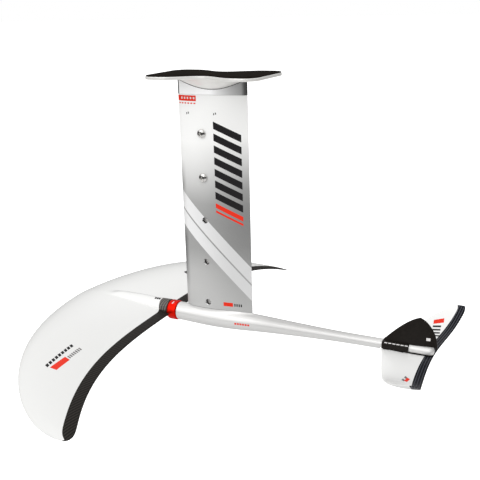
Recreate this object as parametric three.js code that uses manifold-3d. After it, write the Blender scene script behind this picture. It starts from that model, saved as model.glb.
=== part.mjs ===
// Adjustable hydrofoil: board plate, telescoping mast, fuselage, front wing, stabiliser and fin.
// Millimetres. +X points aft, +Y across the span, +Z up. The origin is the middle of the top face
// that bolts to the board.
import * as THREE from "three";
import { mergeVertices } from "three/addons/utils/BufferGeometryUtils.js";
import Module from "manifold-3d";

const wasm = await Module();
wasm.setup();

// ---------------------------------------------------------------- driving dimensions

const GAP = 0.3; // between pieces that touch
const ROUND = 16; // sides of a bolt or bore

const PLATE = {
  halfLength: 95,
  halfWidth: 59,
  waist: 33,
  lobeAt: 60,
  corner: 22,
  thick: 4.7,
  bevel: 1.3,
  aft: 3.5, // how far its middle lies behind the mast's mid chord
};
const GASKET = { thick: 1, inset: 0.8 };
const BOARD_BOLT = { x: 82, y: 45, hole: 9 };
const BELLY = { halfLength: 68, halfWidth: 33, depth: 19, flare: 1.5 };

const MAST = { chord: 120, thick: 20, seamZ: -31.7, footZ: -382.5 };
const HEIGHT_HOLE = { x: -16, topZ: -91.5, pitch: 70, count: 5, hole: 8.6, chamfer: 11 };
const CORE = { front: -46, rear: 8, half: 4.5, corner: 1.5, topZ: -72, footZ: -399.7 };
const SLOT = { mouth: 9.2, lip: 2.5, wide: 15.2, deep: 4.3, endZ: -186 };
const GLIDE = { height: 8, openTo: 2.5 };
const SPIGOT_Z = -60; // lower end of the plate's spigot in the sleeve
const BUSH = { wall: 1.3, height: 5 }; // ends below the lowest height hole

const AXIS_Z = -398.4; // fuselage axis
const FUSELAGE = { noseX: -77.5, tailX: 356, flatZ: -402.2, flatX: 274 };
const SEAT_Z = MAST.footZ - GAP;
const NOSE = { radius: 10, endX: -186, drop: 0.8 };
const COLLAR = { radius: 16.7, front: -95.3, rear: -77.8 };
const SOCKET = { radius: 15.1, z: -397.7, rear: -95.6, fairFrom: -120, fairTo: -245 };

const WING = { halfSpan: 369, rootZ: -402.2, rootLE: -289.6, tipLE: -44.2, rootTE: -90 };
const TAIL = { halfSpan: 154, rootZ: -405.2, rootLE: 276, rootTE: 355.3, seatZ: -403.8 };
const FIN = { baseZ: -391, height: 43, front: 279, peak: 334, rear: 360, half: 4, tubeFrom: 0.68 };
const SADDLE = { front: 278.8, rear: 319.5, half: 10.2, shoulderZ: -390.8, footZ: -402 };
const SHIM = { front: 279, rear: 354.5, half: 8, top: FUSELAGE.flatZ - GAP, thick: 1 };

const COLOUR = {
  alloy: [0xc9cbce, 0.32, 1],
  silverPaint: [0xd8d9da, 0.35, 0.6],
  rubber: [0x17140f, 0.8, 0],
  steel: [0xb9bcc0, 0.2, 1],
  acetal: [0x1b1b1c, 0.5, 0],
  red: [0xd8200c, 0.35, 0.4],
  wingWhite: [0xf2f2f0, 0.15, 0],
  black: [0x141213, 0.35, 0],
};

// ---------------------------------------------------------------- solids and meshes

// A closed geometry becomes a manifold solid, turned right side out if its rings ran the other way.
function solid(geometry) {
  const g = geometry.clone();
  g.deleteAttribute("normal");
  g.deleteAttribute("uv");
  const merged = mergeVertices(g, 1e-4);
  const build = (triVerts) =>
    new wasm.Manifold(
      new wasm.Mesh({ numProp: 3, vertProperties: merged.attributes.position.array, triVerts }),
    );
  const index = new Uint32Array(merged.index.array);
  const made = build(index);
  return made.volume() < 0 ? build(index.reverse()) : made;
}

function geometryOf(manifold) {
  const m = manifold.getMesh();
  const g = new THREE.BufferGeometry();
  g.setAttribute("position", new THREE.BufferAttribute(new Float32Array(m.vertProperties), 3));
  g.setIndex(new THREE.BufferAttribute(new Uint32Array(m.triVerts), 1));
  g.computeVertexNormals();
  return g;
}

const group = new THREE.Group();

function piece(name, shape, [color, roughness, metalness]) {
  const material = new THREE.MeshStandardMaterial({ color, roughness, metalness });
  const mesh = new THREE.Mesh(geometryOf(shape), material);
  mesh.name = name;
  group.add(mesh);
}

// A surface through rings of equal count. Each ring runs over one side and back along the other,
// so an end is closed by a strip across it.
function loft(rings) {
  const n = rings[0].length;
  const position = rings.flat(2);
  const index = [];
  for (let r = 0; r + 1 < rings.length; r++) {
    for (let i = 0; i < n; i++) {
      const a = r * n + i;
      const b = r * n + ((i + 1) % n);
      index.push(a, b, b + n, a, b + n, a + n);
    }
  }
  const last = (rings.length - 1) * n;
  for (let i = 0; i + 1 < n / 2; i++) {
    const [a, b, c, d] = [i, i + 1, n - 2 - i, n - 1 - i];
    index.push(b, a, d, last + a, last + b, last + d);
    if (b !== c) index.push(b, d, c, last + b, last + c, last + d);
  }
  const g = new THREE.BufferGeometry();
  g.setAttribute("position", new THREE.Float32BufferAttribute(position, 3));
  g.setIndex(index);
  return solid(g);
}

// A flat outline in X and Y, pushed up from one height to another.
function prism(outline, fromZ, toZ, hole) {
  const shape = new THREE.Shape(outline.map(([x, y]) => new THREE.Vector2(x, y)));
  if (hole) shape.holes.push(new THREE.Path(hole.map(([x, y]) => new THREE.Vector2(x, y))));
  const g = new THREE.ExtrudeGeometry(shape, { depth: toZ - fromZ, bevelEnabled: false, steps: 1 });
  return solid(g.translate(0, 0, fromZ));
}

function box(from, to) {
  const size = to.map((v, i) => v - from[i]);
  const centre = to.map((v, i) => (v + from[i]) / 2);
  return solid(new THREE.BoxGeometry(...size).translate(...centre));
}

// A turned piece: profile pairs are [radius, height], from the axis round to the axis.
function turned(profile, sides = ROUND) {
  return solid(new THREE.LatheGeometry(profile.map(([r, h]) => new THREE.Vector2(r, h)), sides));
}

function rod(radius, fromZ, toZ, x = 0, y = 0, sides = ROUND) {
  const g = new THREE.CylinderGeometry(radius, radius, toZ - fromZ, sides);
  return solid(g.rotateX(Math.PI / 2).translate(x, y, (fromZ + toZ) / 2));
}

// A slab with chamfered corners, as outline points.
function slab(front, rear, half, corner) {
  return [
    [front + corner, -half],
    [rear - corner, -half],
    [rear, -half + corner],
    [rear, half - corner],
    [rear - corner, half],
    [front + corner, half],
    [front, half - corner],
    [front, -half + corner],
  ];
}

// ---------------------------------------------------------------- foil sections

const SIDE_POINTS = 12;

// Half thickness of a four-digit section as a share of its full thickness.
function foilHalf(s) {
  return 5 * (0.2969 * Math.sqrt(s) - 0.126 * s - 0.3516 * s ** 2 + 0.2843 * s ** 3 - 0.1036 * s ** 4);
}

// Points round a section from the trailing edge over the top to the nose and back underneath,
// as [share of chord, height].
function foilSection(thick, camber, edge, sidePoints = SIDE_POINTS) {
  const top = [];
  const under = [];
  for (let i = 0; i <= sidePoints; i++) {
    const s = (1 + Math.cos((Math.PI * i) / sidePoints)) / 2;
    const mean = 4 * camber * s * (1 - s);
    const half = thick * foilHalf(s) + (edge / 2) * s;
    top.push([s, mean + half]);
    if (i < sidePoints) under.unshift([s, mean - half]);
  }
  return [...top, ...under];
}

function mastOutline(grow = 0) {
  return foilSection(MAST.thick + 2 * grow, 0, 1.2, 18).map(([s, h]) => [
    (s - 0.5) * (MAST.chord + 2 * grow),
    h,
  ]);
}

// A wing from tip to tip: shape(e) gives its edges, height, thickness and camber at a share e of
// the half span. Stations crowd towards the tips.
function wing(halfSpan, stations, shape, sidePoints = SIDE_POINTS) {
  const rings = [];
  for (let i = -stations; i <= stations; i++) {
    const e = Math.sin((Math.PI / 2) * (i / stations)) * 0.998;
    const w = shape(Math.abs(e));
    const chord = w.te - w.le;
    rings.push(
      foilSection(w.thick, w.camber, Math.min(w.edge, w.thick * 0.5), sidePoints).map(([s, h]) => [
        w.le + s * chord,
        e * halfSpan,
        w.z + h,
      ]),
    );
  }
  return loft(rings);
}

// ---------------------------------------------------------------- board plate and gasket

// Rounded lobes at the four corners and a waist between them; grow moves the outline outwards.
function plateOutline(grow) {
  const quarter = [];
  const { halfLength, halfWidth, waist, lobeAt, corner } = PLATE;
  const steps = 8;
  for (let i = 0; i <= steps; i++) {
    const x = (lobeAt * i) / steps;
    quarter.push([x, waist + ((halfWidth - waist) * (1 - Math.cos((Math.PI * i) / steps))) / 2 + grow]);
  }
  for (let i = 0; i <= steps; i++) {
    const a = (Math.PI / 2) * (1 - i / steps);
    quarter.push([
      halfLength - corner + (corner + grow) * Math.cos(a),
      halfWidth - corner + (corner + grow) * Math.sin(a),
    ]);
  }
  const flip = (sx, sy, points) => points.map(([x, y]) => [sx * x, sy * y]);
  const back = [...quarter].reverse();
  return [
    ...flip(1, 1, back),
    ...flip(-1, 1, quarter.slice(1)),
    ...flip(-1, -1, back),
    ...flip(1, -1, quarter.slice(1)),
  ].map(([x, y]) => [x + PLATE.aft, y]);
}

function boardHoles(shape, fromZ, toZ) {
  for (const x of [-BOARD_BOLT.x, BOARD_BOLT.x]) {
    for (const y of [-BOARD_BOLT.y, BOARD_BOLT.y]) {
      shape = shape.subtract(rod(BOARD_BOLT.hole / 2, fromZ, toZ, x + PLATE.aft, y));
    }
  }
  return shape;
}

const plateTop = -GASKET.thick - GAP;
const plateUnder = plateTop - PLATE.thick;

function bevelledPlate() {
  const b = PLATE.bevel;
  const full = plateOutline(0);
  const inner = plateOutline(-b);
  const ring = (outline, z) => outline.map(([x, y]) => [x, y, z]);
  return loft([
    ring(inner, plateUnder),
    ring(full, plateUnder + b),
    ring(full, plateTop - b),
    ring(inner, plateTop),
  ]);
}

function belly() {
  const profile = [[0, 2], [1, 2]];
  for (let i = 8; i >= 0; i--) {
    const r = i / 8;
    profile.push([r, -BELLY.depth * (1 - r * r) ** BELLY.flare]);
  }
  const cap = new THREE.LatheGeometry(profile.map(([r, h]) => new THREE.Vector2(r, h)), 36);
  cap.rotateX(Math.PI / 2).scale(BELLY.halfLength, BELLY.halfWidth, 1);
  return solid(cap.translate(0, 0, plateUnder));
}

const HEAD_BOLT = { xs: { front: -52, rear: 26 }, shank: 3, head: 5, height: 5.5, socket: 2.9, endZ: -70 };
const headBoltSeatZ = plateTop - HEAD_BOLT.height - 1.5;

function topPlate() {
  let shape = bevelledPlate().add(belly());
  shape = shape.add(prism(mastOutline(), MAST.seamZ, plateUnder + 1));
  shape = shape.add(prism(slab(CORE.front, CORE.rear, CORE.half, CORE.corner), SPIGOT_Z, MAST.seamZ + 1));
  for (const x of Object.values(HEAD_BOLT.xs)) {
    shape = shape.subtract(rod(HEAD_BOLT.shank + GAP, MAST.seamZ - 1, plateTop + 1, x));
    shape = shape.subtract(rod(HEAD_BOLT.head + GAP, headBoltSeatZ, plateTop + 1, x));
  }
  return boardHoles(shape, plateUnder - 8, plateTop + 1);
}

piece("top_plate", topPlate(), COLOUR.alloy);
piece(
  "deck_gasket",
  boardHoles(prism(plateOutline(-GASKET.inset), -GASKET.thick, 0), -GASKET.thick - 1, 1),
  COLOUR.rubber,
);

for (const [place, x] of Object.entries(HEAD_BOLT.xs)) {
  const top = headBoltSeatZ + GAP + HEAD_BOLT.height;
  const bolt = turned([
    [0, HEAD_BOLT.endZ],
    [HEAD_BOLT.shank, HEAD_BOLT.endZ],
    [HEAD_BOLT.shank, headBoltSeatZ + GAP],
    [HEAD_BOLT.head, headBoltSeatZ + GAP],
    [HEAD_BOLT.head, top - 0.6],
    [HEAD_BOLT.head - 0.6, top],
    [0, top],
  ]);
  const upright = bolt.rotate([90, 0, 0]).subtract(rod(HEAD_BOLT.socket, top - 3, top + 1, 0, 0, 6));
  piece("head_bolt_" + place, upright.translate([x, 0, 0]), COLOUR.steel);
}

// ---------------------------------------------------------------- mast sleeve and its bush

const heightHoleZ = (i) => HEIGHT_HOLE.topZ - i * HEIGHT_HOLE.pitch;
const wallY = -MAST.thick / 2; // the wall with the height holes, at its fullest

// A turned piece laid along Y, its height axis pointing out of the near wall.
function turnedAlongY(profile, x, z, sides = ROUND) {
  return turned(profile, sides).rotate([180, 0, 0]).translate([x, 0, z]);
}

function mastSleeve() {
  const channel = slab(CORE.front - GAP, CORE.rear + GAP, CORE.half + GAP, CORE.corner);
  let shape = prism(mastOutline(), MAST.footZ, MAST.seamZ - GAP, channel);
  const { hole, chamfer } = HEIGHT_HOLE;
  for (let i = 0; i < HEIGHT_HOLE.count; i++) {
    const bore = turnedAlongY(
      [
        [0, 0],
        [hole / 2, 0],
        [hole / 2, -wallY - 0.9],
        [chamfer / 2, -wallY + 0.4],
        [chamfer / 2, -wallY + 3],
        [0, -wallY + 3],
      ],
      HEIGHT_HOLE.x,
      heightHoleZ(i),
    );
    shape = shape.subtract(bore);
  }
  const pocket = slab(
    CORE.front - BUSH.wall - 2 * GAP,
    CORE.rear + BUSH.wall + 2 * GAP,
    CORE.half + BUSH.wall + 2 * GAP,
    CORE.corner,
  );
  shape = shape.subtract(prism(pocket, MAST.footZ - 1, MAST.footZ + BUSH.height + GAP));
  for (const x of Object.values(HEAD_BOLT.xs)) {
    shape = shape.subtract(rod(HEAD_BOLT.shank + GAP, HEAD_BOLT.endZ - 2, MAST.seamZ + 1, x));
  }
  return shape;
}

piece("mast_sleeve", mastSleeve(), COLOUR.silverPaint);
piece(
  "sleeve_bush",
  prism(
    slab(
      CORE.front - BUSH.wall - GAP,
      CORE.rear + BUSH.wall + GAP,
      CORE.half + BUSH.wall + GAP,
      CORE.corner,
    ),
    MAST.footZ + GAP,
    MAST.footZ + BUSH.height,
    slab(CORE.front - GAP, CORE.rear + GAP, CORE.half + GAP, CORE.corner),
  ),
  COLOUR.acetal,
);

// ---------------------------------------------------------------- lock bar and lock bolts

const LOCK_BAR = { half: 7.3, topZ: -80, footZ: -176, hole: 4.3 };
const slotFloor = -CORE.half + SLOT.lip;

function lockBar() {
  const near = slotFloor + GAP;
  const far = slotFloor + SLOT.deep - GAP;
  let bar = box(
    [HEIGHT_HOLE.x - LOCK_BAR.half, near, LOCK_BAR.footZ],
    [HEIGHT_HOLE.x + LOCK_BAR.half, far, LOCK_BAR.topZ],
  );
  for (let i = 0; i < 2; i++) {
    const through = [[0, -9], [LOCK_BAR.hole, -9], [LOCK_BAR.hole, 9], [0, 9]];
    bar = bar.subtract(turnedAlongY(through, HEIGHT_HOLE.x, heightHoleZ(i)));
  }
  return bar;
}

piece("lock_bar", lockBar(), COLOUR.steel);

const LOCK_BOLT = { shank: 4, head: 7.2, headHeight: 3.9, socket: 2.9, socketDepth: 2.6 };

function lockBolt(z) {
  const { shank, head, headHeight, socket, socketDepth } = LOCK_BOLT;
  const seat = -wallY + GAP;
  const top = seat + headHeight;
  const end = -(slotFloor + SLOT.deep - 2 * GAP);
  const profile = [
    [0, end],
    [shank, end],
    [shank, seat],
    [head, seat],
    [head, seat + 1.6],
    [head - 0.5, seat + 2.6],
    [head - 1.7, top - 0.4],
    [head - 3, top],
    [0, top],
  ];
  const hex = [
    [0, top - socketDepth],
    [socket, top - socketDepth],
    [socket, top + 2],
    [0, top + 2],
  ];
  const x = HEIGHT_HOLE.x;
  return turnedAlongY(profile, x, z, 20).subtract(turnedAlongY(hex, x, z, 6));
}

["upper", "lower"].forEach((place, i) => {
  piece("lock_bolt_" + place, lockBolt(heightHoleZ(i)), COLOUR.steel);
});

// ---------------------------------------------------------------- telescoping core

const FOOT_BOLT = { xs: { front: -37, mid: -19, rear: -1 }, shank: 3, head: 6, topZ: -386 };

function mastCore() {
  let core = prism(slab(CORE.front, CORE.rear, CORE.half, CORE.corner), CORE.footZ, CORE.topZ);
  const x = HEIGHT_HOLE.x;
  core = core.subtract(
    box([x - SLOT.mouth / 2, -CORE.half - 1, SLOT.endZ], [x + SLOT.mouth / 2, slotFloor + 1, CORE.topZ + 1]),
  );
  core = core.subtract(
    box([x - SLOT.wide / 2, slotFloor, SLOT.endZ], [x + SLOT.wide / 2, slotFloor + SLOT.deep, CORE.topZ + 1]),
  );
  for (const boltX of Object.values(FOOT_BOLT.xs)) {
    core = core.subtract(rod(FOOT_BOLT.shank + GAP, CORE.footZ - 1, FOOT_BOLT.topZ + 2, boltX));
  }
  return core;
}

// A cap on the core's upper end, cut through where the slot opens.
function coreGlide() {
  const from = CORE.topZ + GAP;
  const x = HEIGHT_HOLE.x;
  const to = from + GLIDE.height;
  const cap = prism(slab(CORE.front, CORE.rear, CORE.half, CORE.corner), from, to);
  const opening = box(
    [x - SLOT.wide / 2, -CORE.half - 1, from - 1],
    [x + SLOT.wide / 2, GLIDE.openTo, to + 1],
  );
  return cap.subtract(opening);
}

piece("mast_core", mastCore(), COLOUR.alloy);
piece("core_glide", coreGlide(), COLOUR.acetal);

// ---------------------------------------------------------------- fuselage

// Radius along the fuselage: full under the mast, slim at the tail.
const radiusCurve = new THREE.SplineCurve(
  [
    [FUSELAGE.noseX, 15.2],
    [-20, 16],
    [35, 15.4],
    [90, 13],
    [150, 10.3],
    [215, 8.3],
    [290, 7.8],
    [FUSELAGE.tailX, 7.5],
  ].map(([x, r]) => new THREE.Vector2(x, r)),
);

// The underside is fuller below the mast, so each round section hangs a little under the axis.
const sectionDrop = (x) => 0.5 + 1.8 * Math.exp(-(((x + 5) / 55) ** 2));

// A stretch of the fuselage's skin, from one share of its length to another.
function tube(fromT, toT, steps, grow) {
  const sides = 24;
  const rings = [];
  for (let k = 0; k <= steps; k++) {
    const p = radiusCurve.getPoint(fromT + ((toT - fromT) * k) / steps);
    const ring = [];
    for (let i = 0; i < sides; i++) {
      const a = (2 * Math.PI * (i + 0.5)) / sides;
      const r = p.y + grow;
      ring.push([p.x, r * Math.sin(a), AXIS_Z - sectionDrop(p.x) + r * Math.cos(a)]);
    }
    rings.push(ring);
  }
  return loft(rings);
}

// A cylinder or cone along X, from a profile of [radius, x].
function turnedAlongX(profile, z, sides = 24) {
  return turned(profile, sides).rotate([0, 0, -90]).translate([0, 0, z]);
}

const noseZ = AXIS_Z - NOSE.drop;
const WING_BOLT = { xs: { front: -170, mid: -145, rear: -120 }, shank: 3, head: 5.6, topZ: -393 };
const TAIL_BOLT = { xs: { front: 292, rear: 312 }, shank: 2.5, head: 4.6, topZ: -391.5 };

// Countersunk screw from below: head down, shank up.
function screwFromBelow(spec, x, headZ) {
  const cone = spec.head - spec.shank;
  const screw = turned([
    [0, headZ],
    [spec.head, headZ],
    [spec.head, headZ + 0.5],
    [spec.shank, headZ + 0.5 + cone],
    [spec.shank, spec.topZ],
    [0, spec.topZ],
  ]);
  const upright = screw.rotate([90, 0, 0]);
  return upright.subtract(rod(spec.shank * 0.75, headZ - 1, headZ + 2, 0, 0, 6)).translate([x, 0, 0]);
}

// The room a countersunk screw needs, open below.
function screwRoom(spec, x, headZ) {
  const cone = spec.head - spec.shank;
  const room = turned([
    [0, headZ - 12],
    [spec.head + GAP, headZ - 12],
    [spec.head + GAP, headZ + 0.5],
    [spec.shank + GAP, headZ + 0.5 + cone],
    [spec.shank + GAP, spec.topZ + 1],
    [0, spec.topZ + 1],
  ]);
  return room.rotate([90, 0, 0]).translate([x, 0, 0]);
}

const footHeadZ = AXIS_Z - sectionDrop(-19) - 14.6;
const wingHeadZ = -411.6;
const tailHeadZ = -410.3;

function fuselage() {
  let shape = tube(0, 1, 24, 0);
  const seat = prism(mastOutline(0.8), AXIS_Z, SEAT_Z);
  shape = shape.add(seat);
  shape = shape.add(
    turnedAlongX(
      [
        [0, NOSE.endX],
        [NOSE.radius - 1.5, NOSE.endX],
        [NOSE.radius, NOSE.endX + 1.5],
        [NOSE.radius, FUSELAGE.noseX + 5],
        [0, FUSELAGE.noseX + 5],
      ],
      noseZ,
    ),
  );
  shape = shape.subtract(box([FUSELAGE.flatX, -20, FUSELAGE.flatZ - 20], [400, 20, FUSELAGE.flatZ]));
  const foot = slab(CORE.front - GAP, CORE.rear + GAP, CORE.half + GAP, CORE.corner);
  shape = shape.subtract(prism(foot, CORE.footZ - GAP, SEAT_Z + 1));
  for (const x of Object.values(FOOT_BOLT.xs)) shape = shape.subtract(screwRoom(FOOT_BOLT, x, footHeadZ));
  for (const x of Object.values(WING_BOLT.xs)) shape = shape.subtract(screwRoom(WING_BOLT, x, wingHeadZ));
  for (const x of Object.values(TAIL_BOLT.xs)) {
    shape = shape.subtract(rod(TAIL_BOLT.shank + GAP, FUSELAGE.flatZ - 1, AXIS_Z + 20, x));
  }
  return shape;
}

piece("fuselage", fuselage(), COLOUR.silverPaint);
for (const [place, x] of Object.entries(FOOT_BOLT.xs)) {
  piece("foot_bolt_" + place, screwFromBelow(FOOT_BOLT, x, footHeadZ), COLOUR.steel);
}

// ---------------------------------------------------------------- collar ring

function collar() {
  const { radius, front, rear } = COLLAR;
  const inner = NOSE.radius + GAP;
  return turnedAlongX(
    [
      [inner, front],
      [radius - 1.6, front],
      [radius - 0.3, front + 1.6],
      [radius, front + 4],
      [radius, rear - 2],
      [radius - 0.8, rear - 0.3],
      [inner, rear - 0.3],
      [inner, front],
    ],
    noseZ,
    32,
  );
}

piece("collar_ring", collar(), COLOUR.red);

// ---------------------------------------------------------------- front wing

// A crescent: the leading edge sweeps back all the way, the trailing edge only near the tips,
// which round off; the tips droop.
function frontWingShape(e) {
  const le = WING.rootLE + (WING.tipLE - WING.rootLE) * (1 - (1 - e ** 1.67) ** 0.52);
  const te = WING.rootTE + 24.8 * e ** 2 + 43.1 * e ** 4 - 20 * e ** 60;
  const chord = te - le;
  return {
    le,
    te,
    z: WING.rootZ + 4.4 * e ** 2 - 42.5 * e ** 4,
    thick: chord * (0.122 - 0.032 * e),
    camber: chord * 0.02,
    edge: 1.6,
  };
}

function frontWing() {
  let shape = wing(WING.halfSpan, 18, frontWingShape);
  const { radius, z, rear, fairFrom, fairTo } = SOCKET;
  const fairing = [[0, rear], [radius - 0.5, rear], [radius, rear - 0.5], [radius, fairFrom]];
  for (let i = 1; i <= 6; i++) {
    const t = i / 6;
    fairing.push([radius * Math.sqrt(1 - t ** 2.4), fairFrom + (fairTo - fairFrom) * t]);
  }
  shape = shape.add(turnedAlongX(fairing, z));
  shape = shape.subtract(
    turnedAlongX(
      [
        [0, NOSE.endX - 1],
        [NOSE.radius + GAP, NOSE.endX - 1],
        [NOSE.radius + GAP, rear + 5],
        [0, rear + 5],
      ],
      noseZ,
    ),
  );
  const collarRoom = [[0, rear], [COLLAR.radius + GAP, rear], [COLLAR.radius + GAP, rear + 30], [0, rear + 30]];
  shape = shape.subtract(turnedAlongX(collarRoom, noseZ));
  for (const x of Object.values(WING_BOLT.xs)) shape = shape.subtract(screwRoom(WING_BOLT, x, wingHeadZ));
  return shape;
}

piece("front_wing", frontWing(), COLOUR.wingWhite);
for (const [place, x] of Object.entries(WING_BOLT.xs)) {
  piece("wing_bolt_" + place, screwFromBelow(WING_BOLT, x, wingHeadZ), COLOUR.steel);
}

// ---------------------------------------------------------------- stabiliser, shim and fin

// Flat across the top with its belly below; the leading edge sweeps back and the tips turn up.
function stabiliserShape(e) {
  const le = TAIL.rootLE + 45 * e + 37 * e ** 8;
  const te = TAIL.rootTE + 16.5 * e ** 2 + 1.6 * e ** 6 - 4.5 * e ** 40;
  const chord = te - le;
  return {
    le,
    te,
    z: TAIL.rootZ - 13 * e ** 2 + 38.2 * e ** 4,
    thick: chord * 0.088,
    camber: -chord * 0.027,
    edge: 1.4,
  };
}

function stabiliser() {
  let shape = wing(TAIL.halfSpan, 14, stabiliserShape, 9);
  shape = shape.subtract(box([270, -SHIM.half - 1, TAIL.seatZ], [360, SHIM.half + 1, TAIL.seatZ + 20]));
  for (const x of Object.values(TAIL_BOLT.xs)) shape = shape.subtract(screwRoom(TAIL_BOLT, x, tailHeadZ));
  return shape;
}

function shim() {
  const foot = SHIM.top - SHIM.thick;
  let shape = prism(slab(SHIM.front, SHIM.rear, SHIM.half, 3), foot, SHIM.top);
  for (const x of Object.values(TAIL_BOLT.xs)) {
    shape = shape.subtract(rod(TAIL_BOLT.shank + GAP, foot - 1, SHIM.top + 1, x));
  }
  return shape;
}

// A swept blade in level sections, each a foil from its front to its rear edge.
function finBlade() {
  const rings = [];
  const levels = 10;
  for (let k = -2; k <= levels; k++) {
    const t = Math.max(0, Math.sin((Math.PI / 2) * (k / levels)));
    const z = k < 0 ? FIN.baseZ + 3 * k : FIN.baseZ + FIN.height * t * 0.995;
    const front = FIN.front + (FIN.peak - FIN.front) * (1 - (1 - t * 0.995) ** 0.7);
    const rear = FIN.peak + (FIN.rear - FIN.peak) * (1 - (t * 0.995) ** 2) ** 0.7;
    const thick = 2 * FIN.half * (1 - 0.55 * t);
    rings.push(
      foilSection(thick, 0, 1.6, 9).map(([s, h]) => [front + s * (rear - front), h, z]),
    );
  }
  return loft(rings);
}

function saddle() {
  const { front, rear, half, shoulderZ, footZ } = SADDLE;
  const profile = [
    [-half, footZ],
    [half, footZ],
    [half, shoulderZ - 3],
    [half - 2.5, shoulderZ],
    [-half + 2.5, shoulderZ],
    [-half, shoulderZ - 3],
  ];
  const shape = new THREE.Shape(profile.map(([y, z]) => new THREE.Vector2(y, z)));
  const g = new THREE.ExtrudeGeometry(shape, { depth: rear - front, bevelEnabled: false });
  return solid(g.rotateX(Math.PI / 2).rotateZ(Math.PI / 2).translate(front, 0, 0));
}

function tailFin() {
  const tailRoom = tube(FIN.tubeFrom, 1, 10, GAP);
  const under = box([270, -9, FUSELAGE.flatZ - 10], [352, 9, FUSELAGE.flatZ + 2]);
  let shape = finBlade().add(saddle()).subtract(tailRoom);
  shape = shape.subtract(under);
  for (const x of Object.values(TAIL_BOLT.xs)) {
    shape = shape.subtract(rod(TAIL_BOLT.shank + GAP, AXIS_Z, TAIL_BOLT.topZ + 1, x));
  }
  return shape;
}

piece("stabiliser", stabiliser(), COLOUR.wingWhite);
piece("tail_shim", shim(), COLOUR.black);
piece("tail_fin", tailFin(), COLOUR.black);
for (const [place, x] of Object.entries(TAIL_BOLT.xs)) {
  piece("tail_bolt_" + place, screwFromBelow(TAIL_BOLT, x, tailHeadZ), COLOUR.steel);
}

export default group;
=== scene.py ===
"""Telescoping hydrofoil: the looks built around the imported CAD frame. Lengths are in millimetres
until a mesh is made; Blender's own values are in metres."""

import math
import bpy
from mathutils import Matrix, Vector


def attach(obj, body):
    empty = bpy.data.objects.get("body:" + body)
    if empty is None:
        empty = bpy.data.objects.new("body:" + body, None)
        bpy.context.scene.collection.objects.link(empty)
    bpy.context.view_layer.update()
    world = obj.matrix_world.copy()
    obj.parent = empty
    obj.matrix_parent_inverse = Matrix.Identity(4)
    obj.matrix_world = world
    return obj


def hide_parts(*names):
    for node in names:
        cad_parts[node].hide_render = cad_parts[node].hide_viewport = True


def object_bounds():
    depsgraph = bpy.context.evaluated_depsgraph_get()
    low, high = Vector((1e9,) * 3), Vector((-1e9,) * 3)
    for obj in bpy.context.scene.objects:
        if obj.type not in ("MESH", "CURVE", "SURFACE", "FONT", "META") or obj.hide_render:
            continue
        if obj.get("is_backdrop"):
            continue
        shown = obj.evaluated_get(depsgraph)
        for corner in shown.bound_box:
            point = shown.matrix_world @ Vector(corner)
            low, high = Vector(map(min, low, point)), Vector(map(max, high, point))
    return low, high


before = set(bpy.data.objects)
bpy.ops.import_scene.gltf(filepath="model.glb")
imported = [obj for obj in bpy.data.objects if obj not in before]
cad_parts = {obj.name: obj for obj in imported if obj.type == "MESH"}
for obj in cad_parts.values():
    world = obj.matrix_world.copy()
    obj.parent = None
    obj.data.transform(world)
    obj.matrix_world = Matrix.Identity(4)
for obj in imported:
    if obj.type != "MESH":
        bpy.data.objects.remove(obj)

from types import SimpleNamespace as Sizes

import bpy
import numpy as np
from mathutils import Matrix, Vector

MM = 0.001
CAD_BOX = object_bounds()
MAST_BODY = "mast_and_plate"
FOIL_BODY = "foil"

# --- dimensions shared with the CAD

GAP = 0.3
PLATE = Sizes(
    half_length=95, half_width=59, waist=33, lobe_at=60, corner=22, aft=3.5, top=-1.3, under=-6.0
)
GASKET = Sizes(inset=0.8, top=0.0, under=-1.0)
BOARD_BOLT = Sizes(x=82, y=45, hole=9)
BELLY = Sizes(half_length=68, half_width=33, depth=19, flare=1.5)
MAST = Sizes(chord=120, thick=20, edge=1.2, seam=-31.7, foot=-382.5)
SEAT_Z = -382.8
HEIGHT_HOLE = Sizes(x=-16, top=-91.5, pitch=70, count=5, hole=8.6, chamfer=10.6)
CORE = Sizes(front=-46, rear=8, half=4.5, foot=-399.7)
SPIGOT_Z = -60
BUSH = Sizes(wall=1.3, height=5)
HEAD_BOLT = Sizes(xs=(-52, 26), shank=3, end=-70)

AXIS_Z = -398.4
NOSE_Z = -399.2
RADIUS_POINTS = (
    (-77.5, 15.2), (-20, 16), (35, 15.4), (90, 13), (150, 10.3), (215, 8.3), (290, 7.8), (356, 7.5)
)
FUSELAGE = Sizes(nose=-77.5, tail=355.8, flat_z=-402.2, flat_x=274)
NOSE = Sizes(radius=10, end=-186)
COLLAR = Sizes(radius=16.7, front=-95.3, rear=-78.1)
SOCKET = Sizes(
    radius=15.1, z=-397.7, rear=-95.6, fair_from=-120, sink_from=-195, fair_to=-245
)
WING = Sizes(half_span=369, root_z=-402.2, root_le=-289.6, tip_le=-44.2, root_te=-90)
TAIL = Sizes(half_span=154, root_z=-405.2, root_le=276, root_te=355.3, seat_z=-403.8)
FIN = Sizes(base=-391, height=43, front=279, peak=334, rear=360, half=4)
SADDLE = Sizes(front=278.8, rear=319.5, half=10.2, shoulder=-390.8, foot=-402)
SCREWS = {
    "foot_bolt": Sizes(xs=(-37, -19, -1), shank=3, head=6, head_z=-415.2, top=-386),
    "wing_bolt": Sizes(xs=(-170, -145, -120), shank=3, head=5.6, head_z=-411.6, top=-393),
    "tail_bolt": Sizes(xs=(292, 312), shank=2.5, head=4.6, head_z=-410.3, top=-391.5),
}
PLACES = {2: ("front", "rear"), 3: ("front", "mid", "rear")}

# --- mesh tools


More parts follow.
